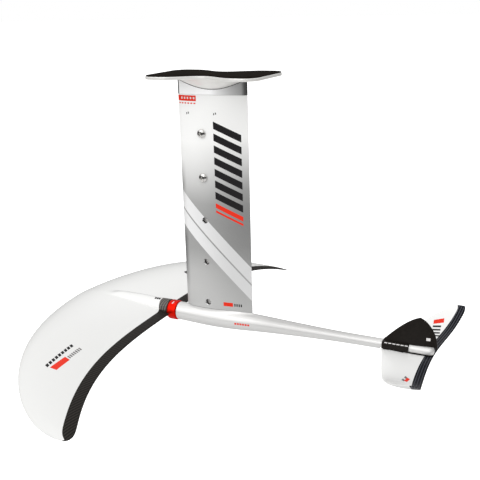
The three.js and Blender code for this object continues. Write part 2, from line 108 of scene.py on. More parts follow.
def make(name, points, faces, materials, picks=None, sharp_deg=32):
    """A mesh object from points in millimetres; picks gives each face its material's number."""
    mesh = bpy.data.meshes.new(name)
    mesh.from_pydata((np.asarray(points, float) * MM).tolist(), [], faces)
    for m in materials:
        mesh.materials.append(m)
    if picks is not None:
        mesh.polygons.foreach_set("material_index", picks)
    obj = bpy.data.objects.new(name, mesh)
    bpy.context.scene.collection.objects.link(obj)
    shade(obj, sharp_deg)
    return obj


def shade(obj, sharp_deg=32):
    mesh = obj.data
    mesh.polygons.foreach_set("use_smooth", [True] * len(mesh.polygons))
    mesh.set_sharp_from_angle(angle=math.radians(sharp_deg))
    mesh.update()


def flat_cap(cols):
    return [tuple(range(cols))]


def loft(name, rings, materials, pick=None, sharp_deg=32, cap=flat_cap):
    """A closed skin through rings of equal count, capped at both ends. pick(row, column) chooses
    the material of the face between ring row and row + 1, point column and column + 1."""
    rings = np.asarray(rings, float)
    rows, cols = rings.shape[:2]
    faces, picks = [], []
    for r in range(rows - 1):
        for c in range(cols):
            a, b = r * cols + c, r * cols + (c + 1) % cols
            faces.append((a, b, b + cols, a + cols))
            picks.append(pick(r, c) if pick else 0)
    last = (rows - 1) * cols
    for face in cap(cols):
        faces += [face[::-1], tuple(i + last for i in face)]
        picks += [pick(0, face[0]) if pick else 0] * 2
    obj = make(name, rings.reshape(-1, 3), faces, materials, picks, sharp_deg)
    return outward(obj)


def outward(obj):
    """Turns the faces to point out of the solid."""
    mesh = obj.data
    mesh.calc_loop_triangles()
    co = np.array([v.co for v in mesh.vertices])
    tri = np.array([t.vertices for t in mesh.loop_triangles])
    a, b, c = co[tri[:, 0]], co[tri[:, 1]], co[tri[:, 2]]
    if np.einsum("ij,ij->i", a, np.cross(b, c)).sum() < 0:
        mesh.flip_normals()
    return obj


def at_height(outline, z):
    return np.column_stack([outline, np.full(len(outline), z)])


def prism(name, outline, low, high, material, edge=0.0):
    """An upright solid on a flat outline, its end edges eased by edge."""
    outline = np.asarray(outline, float)
    middle = (outline.max(0) + outline.min(0)) / 2
    size = (outline.max(0) - outline.min(0)) / 2
    inner = middle + (outline - middle) * (size - edge) / size
    levels = [(inner, low), (outline, low + edge), (outline, low + 2 * edge),
              (outline, high - 2 * edge), (outline, high - edge), (inner, high)]
    if not edge:
        levels = [(outline, low), (outline, high)]
    return loft(name, [at_height(o, z) for o, z in levels], [material])


AXES = {
    "X": np.array([[0, 0, 1], [1, 0, 0], [0, 1, 0]], float),
    "Y": np.array([[1, 0, 0], [0, 0, -1], [0, 1, 0]], float),
    "Z": np.eye(3),
}


def turned(name, profile, centre, axis, material, sides=64):
    """A turned solid from (radius, height) pairs that run from the axis round to the axis, or
    round a ring. Along Y its height points to -Y, out of the mast's near side."""
    turn = AXES[axis]
    points, rings = [], []
    for radius, height in profile:
        count = 1 if radius < 1e-6 else sides
        rings.append((len(points), count))
        for i in range(count):
            a = 2 * math.pi * i / sides
            local = np.array([radius * math.cos(a), radius * math.sin(a), height])
            points.append(turn @ local + centre)
    faces = []
    for (a, na), (b, nb) in zip(rings, rings[1:]):
        for i in range(sides if na + nb > 2 else 0):
            j = (i + 1) % sides
            low = (a + i, a + j) if na > 1 else (a,)
            high = (b + j, b + i) if nb > 1 else (b,)
            faces.append(low + high)
    return outward(make(name, points, faces, [material]))


def eased(points, radius, steps=4, closed=False):
    """A 2-D path with each corner rounded."""
    p = np.array(points, float)
    out = []
    for i, corner in enumerate(p):
        if not closed and i in (0, len(p) - 1):
            out.append(tuple(corner))
            continue
        ends = []
        for other in (p[i - 1], p[(i + 1) % len(p)]):
            length = np.linalg.norm(other - corner)
            ends.append(corner + (other - corner) / length * min(radius, length / 2.01))
        for t in np.arange(steps + 1) / steps:
            out.append(tuple((1 - t) ** 2 * ends[0] + 2 * t * (1 - t) * corner + t * t * ends[1]))
    return out


def carve(obj, cutters, operation="DIFFERENCE", sharp_deg=32):
    """Cuts each cutter out of obj, or joins it on. The new faces keep the cutter's material."""
    for cutter in cutters:
        cut = obj.modifiers.new("carve", "BOOLEAN")
        cut.operation = operation
        cut.solver = "EXACT"
        cut.material_mode = "TRANSFER"
        cut.object = cutter
        graph = bpy.context.evaluated_depsgraph_get()
        made = bpy.data.meshes.new_from_object(obj.evaluated_get(graph))
        obj.modifiers.clear()
        obj.data = made
        bpy.data.objects.remove(cutter)
    shade(obj, sharp_deg)
    return obj


def rod(radius, low, high, x, y, material, axis="Z", sides=48):
    """A plain cutter along an axis: a round bar, or a hexagon with six sides."""
    profile = [(0, low), (radius, low), (radius, high), (0, high)]
    centre = {"Z": (x, y, 0), "X": (0, x, y), "Y": (x, 0, y)}[axis]
    return turned("cutter", profile, centre, axis, material, sides)


def smooth_max(a, b, k):
    h = np.clip(k - np.abs(a - b), 0, None) / k
    return np.maximum(a, b) + h**3 * k / 6


def smooth_min(a, b, k):
    return -smooth_max(-np.asarray(a), -np.asarray(b), k)


def place(obj, body, slot, *nodes):
    """The piece rides on a body and stands for CAD nodes, which it hides. slot is not used."""
    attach(obj, body)
    if nodes:
        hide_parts(*nodes)
    return obj


# --- shader tools


class Nodes:
    """A short way to write the nodes of a material or of the world."""

    def __init__(self, name, store=bpy.data.materials, shader="Principled BSDF"):
        self.owner = store.new(name)
        self.owner.use_nodes = True
        self.tree = self.owner.node_tree
        self.shader = self.tree.nodes[shader]

    def node(self, kind, inputs=None, **settings):
        made = self.tree.nodes.new("ShaderNode" + kind)
        for key, value in settings.items():
            setattr(made, key, value)
        for key, value in (inputs or {}).items():
            self.feed(made.inputs[key], value)
        return made

    def feed(self, socket, value):
        if isinstance(value, bpy.types.NodeSocket):
            self.tree.links.new(value, socket)
        else:
            socket.default_value = value

    def math(self, operation, *values, clamp=False):
        made = self.node("Math", operation=operation, use_clamp=clamp)
        for i, value in enumerate(values):
            self.feed(made.inputs[i], value)
        return made.outputs[0]

    def place(self, scale=(1, 1, 1), rotation=(0, 0, 0)):
        """Position on the piece in millimetres, then scaled and turned."""
        where = self.node("TexCoord").outputs["Object"]
        size = tuple(s / MM for s in scale)
        made = self.node("Mapping", {"Vector": where, "Scale": size})
        made.inputs["Rotation"].default_value = rotation
        return made.outputs[0]

    def axes(self, vector):
        made = self.node("SeparateXYZ", {"Vector": vector})
        return made.outputs[:]

    def noise(self, vector, scale, detail, rough=0.5):
        inputs = {"Vector": vector, "Scale": scale, "Detail": detail, "Roughness": rough}
        return self.node("TexNoise", inputs).outputs["Fac"]

    def between(self, value, low, high):
        """The value, from 0 to 1, taken to a range."""
        inputs = {"Value": value, "To Min": low, "To Max": high}
        return self.node("MapRange", inputs, clamp=True).outputs[0]

    def step(self, value, low, high):
        """0 below low and 1 above high, smooth between."""
        inputs = {"Value": value, "From Min": low, "From Max": high}
        return self.node("MapRange", inputs, interpolation_type="SMOOTHSTEP").outputs[0]

    def window(self, value, low, high, soft=0.15):
        """1 from low to high and 0 outside."""
        over = self.step(value, low - soft, low + soft)
        past = self.step(value, high - soft, high + soft)
        return self.math("MULTIPLY", over, self.math("SUBTRACT", 1.0, past))

    def ramp(self, value, stops, tint=(1, 1, 1)):
        """A tone from (place, level) stops."""
        made = self.node("ValToRGB", {"Fac": value})
        elements = made.color_ramp.elements
        while len(elements) < len(stops):
            elements.new(0.5)
        for element, (at, level) in zip(elements, stops):
            element.position = at
            element.color = (*(level * share for share in tint), 1)
        return made.outputs["Color"]

    def mix(self, share, a, b):
        made = self.node("Mix", data_type="RGBA")
        self.feed(made.inputs["Factor"], share)
        for key, value in (("A", a), ("B", b)):
            socket = [s for s in made.inputs if s.name == key and s.type == "RGBA"][0]
            self.feed(socket, (*value, 1) if isinstance(value, tuple) else value)
        return [s for s in made.outputs if s.type == "RGBA"][0]

    def bump(self, height, strength, depth):
        """depth is the full height in millimetres."""
        inputs = {"Height": height, "Strength": strength, "Distance": depth * MM}
        self.feed(self.shader.inputs["Normal"], self.node("Bump", inputs).outputs[0])

    def set(self, **values):
        """Sockets of the shader by name, with _ for a space."""
        for key, value in values.items():
            socket = self.shader.inputs[key.replace("_", " ")]
            self.feed(socket, (*value, 1) if isinstance(value, tuple) else value)
        return self.owner


def grey(level):
    return (level, level, level)


# --- materials


def plain(name, colours, rough, tone, grain=None, bump=None, **more):
    """A finish whose colour and roughness follow one noise, tone. Its bump follows grain, or tone
    where there is no grain. A noise is its scale, its detail and how much it is drawn out."""
    n = Nodes(name)

    def noise(scale, detail, stretch=(1, 1, 1)):
        return n.noise(n.place(stretch), scale, detail)

    cloud = noise(*tone)
    if bump:
        n.bump(noise(*grain) if grain else cloud, *bump)
    return n.set(Base_Color=n.mix(cloud, *colours), Roughness=n.between(cloud, *rough), **more)


UPRIGHT = (2.2, 2.2, 0.02)
ROUND_X = (2.0, 0.02, 0.02)


def brushed_alloy(name, base, rough, metallic):
    """Drawn or brushed metal with its grain upright."""
    darker = tuple(c * 0.86 for c in base)
    streak = (1.0, 4, UPRIGHT)
    return plain(name, (darker, base), rough, streak, bump=(0.18, 0.05), Metallic=metallic)


def ink(name, colour):
    """Printed film with a slightly uneven coat."""
    worn = tuple(c * 0.8 + 0.01 for c in colour)
    return plain(name, (worn, colour), (0.35, 0.47), (0.6, 3), Specular_IOR_Level=0.12)


# Painted shade across the neck, nose to tail, with painted dark reflections at both edges.
NECK_PAINTED_SHADE = (
    (0.0, 0.02), (0.030, 0.02), (0.045, 0.98), (0.50, 1.0), (0.61, 0.72), (0.69, 0.60),
    (0.81, 0.43), (0.92, 0.31), (0.965, 0.06), (1.0, 0.02)
)


def neck_alloy_painted_shade():
    """Satin casting with painted shade: bright in front and darker behind, with a painted dark
    reflection along each edge.
    """
    n = Nodes("neck_alloy_painted_shade")
    x, _, _ = n.axes(n.place())
    share = n.math("MULTIPLY_ADD", x, 1 / MAST.chord, 0.5)
    tone = n.ramp(share, NECK_PAINTED_SHADE)
    streak = n.noise(n.place(UPRIGHT), 1.0, 4)
    n.bump(streak, 0.15, 0.04)
    return n.set(
        Base_Color=n.mix(n.between(streak, 0.0, 0.06), tone, grey(0.5)),
        Metallic=0.0,
        Roughness=n.between(streak, 0.30, 0.42),
    )


FADE = Sizes(top=-32, foot=-383)
# Painted reflection down the mast, top to foot, in front and behind.
PAINTED_REFLECTION_FRONT = (
    (0.0, 0.93), (0.20, 0.92), (0.27, 0.81), (0.32, 0.72), (0.40, 0.55), (0.48, 0.35),
    (0.56, 0.295), (0.70, 0.31), (0.81, 0.45), (0.90, 0.49), (1.0, 0.48)
)
PAINTED_REFLECTION_REAR = (
    (0.0, 0.80), (0.17, 0.83), (0.26, 0.61), (0.33, 0.43), (0.40, 0.26), (0.49, 0.185),
    (0.58, 0.17), (0.67, 0.185), (0.74, 0.23), (0.86, 0.32), (1.0, 0.40)
)
NOSE_SHADE = (
    (0.0, 0.0), (0.28, 0.0), (0.40, 0.55), (0.45, 0.25), (0.52, 0.10), (0.60, 0.15), (0.65, 0.75),
    (0.76, 0.70), (0.84, 0.45), (0.90, 0.20), (1.0, 0.15)
)
BAND = Sizes(slope=-1.03, edges=(-243.5, -271.0, -274.6, -300.4))


def mast_paint():
    """Satin silver with a painted reflection that fades from pale to grey and back, lighter in
    front than behind, with two pale slanting bands and painted shade on the nose."""
    n = Nodes("mast_silver")
    where = n.place()
    x, _, z = n.axes(where)
    wave = n.math("MULTIPLY_ADD", n.noise(where, 0.02, 1), 6.0, z)
    share = n.math("DIVIDE", n.math("SUBTRACT", FADE.top, wave), FADE.top - FADE.foot)
    front, rear = (n.ramp(share, stops, (1, 1, 0.985)) for stops in (PAINTED_REFLECTION_FRONT, PAINTED_REFLECTION_REAR))
    silver = n.mix(n.step(x, -40.0, 60.0), front, rear)
    line = n.math("SUBTRACT", z, n.math("MULTIPLY", x, BAND.slope))
    top, gap_top, gap_foot, foot = BAND.edges
    gap = n.window(line, gap_foot, gap_top)
    banded = n.math("MULTIPLY", n.window(line, foot, top), n.math("SUBTRACT", 1.0, gap))
    # The pale bands carry the same painted shade: lighter in front, darker behind.
    pale = n.mix(n.step(x, -58.0, 40.0), grey(0.80), grey(0.60))
    flake = n.noise(where, 9.0, 1)
    colour = n.mix(banded, silver, pale)
    colour = n.mix(n.between(flake, 0.0, 0.10), colour, grey(0.9))
    # Painted shade: a dark reflection along the nose.
    nose = n.math("SUBTRACT", 1.0, n.step(x, -57.5, -47.0))
    dark = n.math("MULTIPLY", nose, n.ramp(share, NOSE_SHADE))
    n.bump(flake, 0.05, 0.02)
    return n.set(
        Base_Color=n.mix(dark, colour, grey(0.06)),
        Metallic=0.1,
        Roughness=n.between(n.noise(where, 0.4, 3), 0.36, 0.46),
    )


BODY_PAINTED_SHADE = ((0.0, 0.0), (0.26, 0.0), (0.40, 1.0), (0.70, 1.0), (0.82, 0.5), (1.0, 0.45))
BODY_START, BODY_LENGTH = -80, 440


def satin_silver():
    """Fuselage finish: fine metallic flake and a faint drawn grain along its length, with painted
    shade that greys the top behind the mast."""
    n = Nodes("fuselage_silver")
    where = n.place()
    x, _, z = n.axes(where)
    along = n.math("MULTIPLY_ADD", x, 1 / BODY_LENGTH, -BODY_START / BODY_LENGTH)
    # Painted shade: the top behind the mast is greyed.
    above = n.step(z, -404.0, -390.0)
    painted_shade = n.math("MULTIPLY", n.math("MULTIPLY", n.ramp(along, BODY_PAINTED_SHADE), above), 0.5)
    flake = n.noise(where, 8.0, 1)
    silver = n.mix(n.between(flake, 0.3, 0.7), grey(0.65), (0.71, 0.70, 0.68))
    grain = n.noise(n.place((0.02, 1.5, 1.5)), 1.0, 3)
    n.bump(grain, 0.02, 0.01)
    return n.set(
        Base_Color=n.mix(painted_shade, silver, (0.34, 0.335, 0.33)),
        Metallic=0.35,
        Roughness=n.between(grain, 0.27, 0.31),
    )


def red_anodised():
    """Dyed red with turning marks round the ring."""
    n = Nodes("collar_red")
    ring = n.noise(n.place(ROUND_X), 1.0, 3)
    n.bump(ring, 0.12, 0.04)
    return n.set(
        Base_Color=n.mix(n.noise(n.place(), 0.12, 2), (0.66, 0.005, 0.001), (0.82, 0.012, 0.002)),
        Metallic=0.8,
        Roughness=n.between(ring, 0.28, 0.40),
        Specular_IOR_Level=0.1,
    )


def rubber():
    """Moulded pad: matt brown-black with a fine pebble and a little dust."""
    n = Nodes("pad_rubber")
    where = n.place()
    pebble = n.node("TexVoronoi", {"Vector": where, "Scale": 1.1}).outputs["Distance"]
    dust = n.step(n.noise(where, 0.03, 5, 0.6), 0.45, 0.75)
    n.bump(pebble, 0.35, 0.12)
    return n.set(
        Base_Color=n.mix(n.between(dust, 0.0, 0.5), (0.008, 0.006, 0.004), (0.020, 0.015, 0.011)),
        Roughness=n.between(dust, 0.75, 0.9),
        Specular_IOR_Level=0.02,
    )


def white_gloss():
    """Gelcoat: white with the faintest cloud under a clear gloss, with painted shade that greys it
    towards the near tip.
    """
    n = Nodes("wing_white")
    where = n.place()
    cloud = n.noise(where, 0.012, 3)
    peel = n.noise(where, 0.35, 2)
    _, y, _ = n.axes(where)
    # Painted shade: darker white towards the near tip.
    white = n.mix(n.step(y, -360.0, 60.0), (0.70, 0.70, 0.69), (0.81, 0.81, 0.80))
    n.bump(peel, 0.03, 0.05)
    return n.set(
        Base_Color=n.mix(n.between(cloud, 0.0, 0.12), white, (0.66, 0.66, 0.64)),
        Roughness=n.between(peel, 0.18, 0.26),
        Specular_IOR_Level=0.25,
        Coat_Weight=0.12,
        Coat_Roughness=0.1,
    )


TOW = 1.5
TWILL_TURN = (0, 0, math.radians(-21))


def twill(name, light, shine):
    """Two-over-two twill under resin: crossing tows, each slightly round, with fibre lines."""
    n = Nodes(name)
    u, v, _ = n.axes(n.place((1 / TOW, 1 / TOW, 1 / TOW), TWILL_TURN))
    phase = n.math("SUBTRACT", n.math("FLOOR", u), n.math("FLOOR", v))
    warp = n.math("LESS_THAN", n.math("FLOORED_MODULO", phase, 4.0), 1.5)

    def woven(across, along):
        """The value of whichever tow lies on top."""
        return n.node("Mix", {"Factor": warp, "A": across, "B": along}).outputs[0]

    crown = woven(*(n.math("PINGPONG", n.math("FRACT", side), 0.5) for side in (v, u)))
    fibre = woven(*(n.noise(n.place(scale, TWILL_TURN), 1.0, 2)
                    for scale in ((0.15, 7, 7), (7, 0.15, 7))))
    tone = n.math("MULTIPLY_ADD", warp, 0.55, n.math("MULTIPLY", fibre, 0.25))
    tone = n.math("MULTIPLY_ADD", crown, 0.5, n.math("SUBTRACT", tone, 0.15), clamp=True)
    n.bump(crown, 0.3, 0.08)
    return n.set(
        Base_Color=n.mix(tone, (0.006, 0.0055, 0.005), light),
        Roughness=n.between(tone, 0.42, 0.30),
        Specular_IOR_Level=shine,
    )


RIBBON = Sizes(sweep=16.5, pitch=3.9, stitch=4.4)


def ribbon_carbon():
    """Unidirectional tape along the stabiliser: dark ribbons, thin pale lines, cross stitches."""
    n = Nodes("tail_carbon")
    x, y, _ = n.axes(n.place())
    curve = -RIBBON.sweep / TAIL.half_span ** 2
    swept = n.math("MULTIPLY_ADD", n.math("MULTIPLY", y, y), curve, x)
    line = n.math("PINGPONG", n.math("DIVIDE", swept, RIBBON.pitch), 0.5)
    slant = n.math("MULTIPLY_ADD", x, 0.5, y)
    cross = n.math("PINGPONG", n.math("DIVIDE", slant, RIBBON.stitch), 0.5)
    fibre = n.noise(n.place((3.0, 0.08, 1.0)), 1.0, 3)
    stitch = n.math("MULTIPLY", n.step(cross, 0.40, 0.48), 0.30)
    tone = n.math("ADD", n.math("MAXIMUM", n.step(line, 0.36, 0.48), stitch),
                  n.between(fibre, -0.1, 0.15), clamp=True)
    n.bump(fibre, 0.15, 0.04)
    return n.set(
        Base_Color=n.mix(tone, (0.002, 0.002, 0.003), (0.105, 0.110, 0.130)),
        Roughness=n.between(tone, 0.30, 0.40),
        Specular_IOR_Level=0.05,
    )


M = Sizes(
    plate=plain("plate_alloy", ((0.80, 0.79, 0.77), (0.88, 0.87, 0.84)), (0.30, 0.36),
                (0.05, 4), (1.6, 2), (0.02, 0.01), Metallic=0.35),
    neck=neck_alloy_painted_shade(),
    core=brushed_alloy("core_alloy", (0.72, 0.71, 0.69), (0.3, 0.45), 0.3),
    bare=brushed_alloy("cut_alloy", grey(0.8), (0.14, 0.24), 1.0),
    mast=mast_paint(),
    silver=satin_silver(),
    red=red_anodised(),
    rubber=rubber(),
    white=white_gloss(),
    carbon=twill("wing_carbon", (0.042, 0.037, 0.033), 0.06),
    # A lighter, shinier copy of the band's carbon for the socket: painted sheen.
    socket=twill("socket_carbon_painted_sheen", (0.20, 0.175, 0.155), 0.45),
    ribbon=ribbon_carbon(),
    fin=plain("fin_black", ((0.007, 0.006, 0.005), (0.015, 0.012, 0.010)), (0.26, 0.38),
              (0.25, 4), (3.0, 2), (0.15, 0.04), Specular_IOR_Level=0.10),
    acetal=plain("bush_acetal", (grey(0.012), grey(0.022)), (0.4, 0.55), (2.0, 3),
                 bump=(0.15, 0.05)),
    steel=plain("bolt_steel", ((0.66, 0.65, 0.63), (0.80, 0.79, 0.77)), (0.06, 0.14), (2.5, 3),
                bump=(0.10, 0.03), Metallic=1.0),
    ink_black=ink("ink_black", (0.010, 0.009, 0.010)),
    ink_red=ink("ink_red", (0.80, 0.028, 0.008)),
    ink_grey=ink("ink_grey", (0.17, 0.16, 0.16)),
    ink_pale=ink("ink_pale", (0.75, 0.73, 0.72)),
    # Painted shadow colour, for the neck's groove and the bores of the height holes.
    dark=ink("seam_shadow", (0.012, 0.011, 0.010)),
)

# --- foil sections


def foil_half(s):
    """Half thickness of a four-digit section as a share of its full thickness."""
    s = np.asarray(s, float)
    return 5 * (0.2969 * np.sqrt(s) - 0.126 * s - 0.3516 * s**2 + 0.2843 * s**3 - 0.1036 * s**4)


def mast_half(x, grow=0.0):
    """Half thickness of the mast at x."""
    s = np.clip(np.asarray(x, float) / (MAST.chord + 2 * grow) + 0.5, 0, 1)
    return (MAST.thick + 2 * grow) * foil_half(s) + MAST.edge / 2 * s


def mast_outline(grow=0.0, count=56):
    """Round the mast section from the trailing edge over +Y to the nose and back, its trailing
    edge eased."""
    s = (1 + np.cos(np.pi * np.arange(1, count) / count)) / 2
    x = (s - 0.5) * (MAST.chord + 2 * grow)
    y = mast_half(x, grow)
    end = MAST.chord / 2 + grow
    half_edge = MAST.edge / 2
    top = [(end, half_edge * 0.35), (end - 0.12, half_edge * 0.8), (end - 0.45, half_edge * 1.05)]
    top += list(zip(x, y)) + [(-end, 0.0)]
    return top + [(px, -py) for px, py in top[-2::-1]]


def slab(grow=0.0, corner=1.5):
    """Outline of the telescoping core."""
    half = CORE.half + grow
    front, rear = CORE.front - grow, CORE.rear + grow
    corners = [(front, -half), (rear, -half), (rear, half), (front, half)]
    return eased(corners, corner, 5, closed=True)


# --- board plate and pad


def plate_outline(grow):
    """Rounded lobes at the four corners and a waist between them."""
    p = PLATE
    share = np.arange(29) / 28
    swell = (p.half_width - p.waist) * (1 - np.cos(np.pi * share)) / 2
    angle = np.pi / 2 * (1 - share[1:])
    reach = p.corner + grow
    quarter = list(zip(p.lobe_at * share, p.waist + swell + grow))
    quarter += zip(p.half_length - p.corner + reach * np.cos(angle),
                   p.half_width - p.corner + reach * np.sin(angle))
    back = quarter[::-1]
    loop = back + [(-x, y) for x, y in quarter[1:]]
    loop += [(-x, -y) for x, y in back[:-1]] + [(x, -y) for x, y in quarter[1:-1]]
    return np.array([(x + p.aft, y) for x, y in dict.fromkeys(loop)])


def bevelled(name, grow, low, high, ease, material, steps=4):
    """A slab on the plate outline with rounded upper and lower edges."""
    levels = []
    for k in range(steps + 1):
        a = math.pi / 2 * k / steps
        levels.append((low + ease * (1 - math.sin(a)), grow - ease * (1 - math.cos(a))))
    levels = levels[::-1] + [(low + high - z, g) for z, g in levels]
    return loft(name, [at_height(plate_outline(g), z) for z, g in levels], [material])


def board_holes(low, high, material):
    reach, y = BOARD_BOLT.x, BOARD_BOLT.y
    spots = [(PLATE.aft + sx * reach, sy * y) for sx in (-1, 1) for sy in (-1, 1)]
    return [rod(BOARD_BOLT.hole / 2, low, high, *spot, material) for spot in spots]


NECK_GROOVE = 0.9


def belly(shift=0.0):
    """The bulge under the plate that carries the mast head: a turned solid made oval."""
    lid = PLATE.under + 3
    profile = [(0, lid), (1, lid)]
    for share in np.linspace(1, 0, 37):
        drop = BELLY.depth * (1 - share**2) ** BELLY.flare
        profile.append((share, PLATE.under + shift - drop))
    bulge = turned("cutter", profile, (0, 0, 0), "Z", M.plate, 96)
    bulge.data.transform(Matrix.Diagonal((BELLY.half_length, BELLY.half_width, 1, 1)))
    return bulge


def build_plate():
    plate = bevelled("board_plate", 0, PLATE.under, PLATE.top, 1.0, M.plate)
    carve(plate, [belly()], "UNION")
    carve(plate, board_holes(PLATE.under - 9, 1, M.bare))
    place(plate, MAST_BODY, "alloy", "top_plate")
    bulge_top = PLATE.under - 1
    neck = prism("plate_neck", mast_outline(), MAST.seam, bulge_top, M.neck, 0.25)
    carve(neck, [belly(-NECK_GROOVE)])
    place(neck, MAST_BODY, "alloy")
    # Painted shadow: a dark core that shows in the neck's groove under the belly.
    root = prism("neck_groove_painted_shadow", mast_outline(-0.7), MAST.seam + 3, bulge_top, M.dark)
    place(root, MAST_BODY, "alloy")
    spigot = prism("plate_spigot", slab(), SPIGOT_Z, MAST.seam + 1, M.neck, 0.5)
    place(spigot, MAST_BODY, "alloy")
    pad = bevelled("deck_pad", -GASKET.inset, GASKET.under, GASKET.top, 0.35, M.rubber)
    carve(pad, board_holes(-3, 2, M.rubber))
    place(pad, MAST_BODY, "rubber_pad", "deck_gasket")


# --- mast sleeve and its bolts


def hole_z(i):
    return HEIGHT_HOLE.top - i * HEIGHT_HOLE.pitch


def height_hole(i):
    """Bore and chamfer through the near wall; the bore takes the painted shadow colour."""
    h = HEIGHT_HOLE
    wall = MAST.thick / 2
    chamfer = [(0, wall - 1), (h.hole / 2 + 0.1, wall - 1), (h.chamfer / 2, wall + 0.3),
               (h.chamfer / 2, wall + 3), (0, wall + 3)]
    return [rod(h.hole / 2, 0, wall + 3, h.x, hole_z(i), M.dark, "Y", 64),
            turned("cutter", chamfer, (h.x, 0, hole_z(i)), "Y", M.bare)]


def build_sleeve():
    seam = MAST.seam - GAP
    sleeve = prism("mast_tube", mast_outline(), MAST.foot, seam, M.mast, 0.3)
    foot = MAST.foot
    pocket = slab(BUSH.wall + 2 * GAP)
    cutters = [prism("cutter", slab(GAP), foot - 2, MAST.seam + 2, M.core),
               prism("cutter", pocket, foot - 1, foot + BUSH.height + GAP, M.core)]
    for i in range(HEIGHT_HOLE.count):
        cutters += height_hole(i)
    for x in HEAD_BOLT.xs:
        low, high = HEAD_BOLT.end - 2, MAST.seam + 2
        cutters.append(rod(HEAD_BOLT.shank + GAP, low, high, x, 0, M.bare))
    carve(sleeve, cutters)
    place(sleeve, MAST_BODY, "silver_paint", "mast_sleeve")


BOLT_DOME = ((7.2, 0), (7.2, 1.0), (6.6, 2.3), (5.4, 3.2), (3.8, 3.9))


def lock_bolt(where, z):
    """Domed head with a hex socket on a plain shank."""
    x, seat = HEIGHT_HOLE.x, MAST.thick / 2 + GAP
    head = eased([(radius, seat + rise) for radius, rise in BOLT_DOME], 0.5)
    profile = [(0, -1.7), (4, -1.7), (4, seat)] + head + [(0, seat + BOLT_DOME[-1][1])]
    bolt = turned(f"lock_screw_{where}", profile, (x, 0, z), "Y", M.steel)
    carve(bolt, [rod(3.1, seat + 1.3, seat + 6, x, z, M.steel, "Y", sides=6)])
    place(bolt, MAST_BODY, "steel", f"lock_bolt_{where}")


# --- fuselage


def catmull(points, count):
    """Evenly stepped points on a uniform Catmull-Rom curve."""
    p = np.array(points, float)
    last = len(p) - 1
    at = np.linspace(0, last, count)
    i = np.minimum(at.astype(int), last - 1)
    w = (at - i)[:, None]
    a, b, c, d = (p[np.clip(i + k, 0, last)] for k in (-1, 0, 1, 2))
    v0, v1 = (c - a) / 2, (d - b) / 2
    cubic, square = 2 * b - 2 * c + v0 + v1, 3 * c - 3 * b - 2 * v0 - v1
    return cubic * w**3 + square * w**2 + v0 * w + b


CURVE = catmull(RADIUS_POINTS, 400)


def body_radius(x):
    return np.interp(x, CURVE[:, 0], CURVE[:, 1])


def body_centre(x):
    """Height of the section's centre: a little lower under the mast."""
    return AXIS_Z - 0.5 - 1.8 * np.exp(-(((np.asarray(x, float) + 5) / 55) ** 2))


def outline_distance(x, y, outline):
    """Signed distance in the plane to a closed outline, below zero inside."""
    a = np.array(outline, float)
    b = np.roll(a, -1, axis=0)
    side = b - a
    px, py = x[..., None] - a[:, 0], y[..., None] - a[:, 1]
    t = np.clip((px * side[:, 0] + py * side[:, 1]) / (side**2).sum(1), 0, 1)
    far = np.hypot(px - t * side[:, 0], py - t * side[:, 1]).min(-1)
    inside = np.abs(y) < mast_half(x, 0.4)
    inside &= np.abs(x) < MAST.chord / 2 + 0.4
    return np.where(inside, -far, far)


SEAT_BLEND = 7.0
SEAT_REACH = 72


def seat_radius(x, angle):
    """Distance from the section's centre to the skin: a round body drawn up to the mast's foot."""
    base = body_radius(x)
    centre = body_centre(x)
    outline = mast_outline(0.4, 28)
    low, high = base - 1.0, base + 12.0
    for _ in range(18):
        mid = (low + high) / 2
        y, z = mid * np.sin(angle), centre + mid * np.cos(angle)
        foot = smooth_max(outline_distance(x, y, outline), z - SEAT_Z, 0.4)
        foot = np.maximum(foot, centre + 4 - z)
        outside = smooth_min(mid - base, foot, SEAT_BLEND) > 0
        low, high = np.where(outside, low, mid), np.where(outside, mid, high)
    lid = np.where(np.cos(angle) > 0.2, (SEAT_Z - centre) / np.clip(np.cos(angle), 0.2, None), 1e9)
    return np.minimum((low + high) / 2, lid)


def seat_angles(x):
    """Angles round a section, one of them always on the edge of the mast's foot."""
    half = float(mast_half(x, 0.4)) if abs(x) < MAST.chord / 2 + 0.4 else 0.0
    edge = max(math.atan2(half, SEAT_Z - float(body_centre(x))), 0.05)
    inner = edge * (np.arange(16) + 0.5) / 15.5
    outer = edge + (math.pi - edge) * (np.arange(1, 57) / 56.5)
    side = np.concatenate([inner, outer])
    return np.concatenate([side, 2 * np.pi - side[::-1]])


def body_stations():
    """Where the fuselage has a section: close together under the mast and at its ends."""
    nose = FUSELAGE.nose + np.array([0.6, 3.0])
    foot = MAST.chord / 2 + 0.4
    under = foot * np.sin(np.pi / 2 * np.linspace(-1, 1, 121))
    lead = np.arange(foot + 0.6, SEAT_REACH, 1.4)
    rear = np.arange(SEAT_REACH + 3, FUSELAGE.flat_x - 1, 5.0)
    step = [FUSELAGE.flat_x - 0.05, FUSELAGE.flat_x + 0.05]
    tail = np.linspace(FUSELAGE.flat_x + 4, FUSELAGE.tail - 4.5, 18)
    return np.concatenate([nose, -lead[::-1], under, lead, rear, step, tail])


def round_ring(x, radius, centre, angles):
    y, z = radius * np.sin(angles), centre + radius * np.cos(angles)
    return np.column_stack([np.full(len(angles), x), y, z])


def body_ring(x, radius, centre, angles):
    """One round section, cut flat below where the shim sits."""
    ring = round_ring(x, radius, centre, angles)
    if x > FUSELAGE.flat_x:
        ring[:, 2] = np.maximum(ring[:, 2], FUSELAGE.flat_z)
    return ring


TAIL_END = ((3.4, 0.4), (2.0, 1.2), (0.9, 2.3), (0.2, 3.8), (0.0, 4.8))


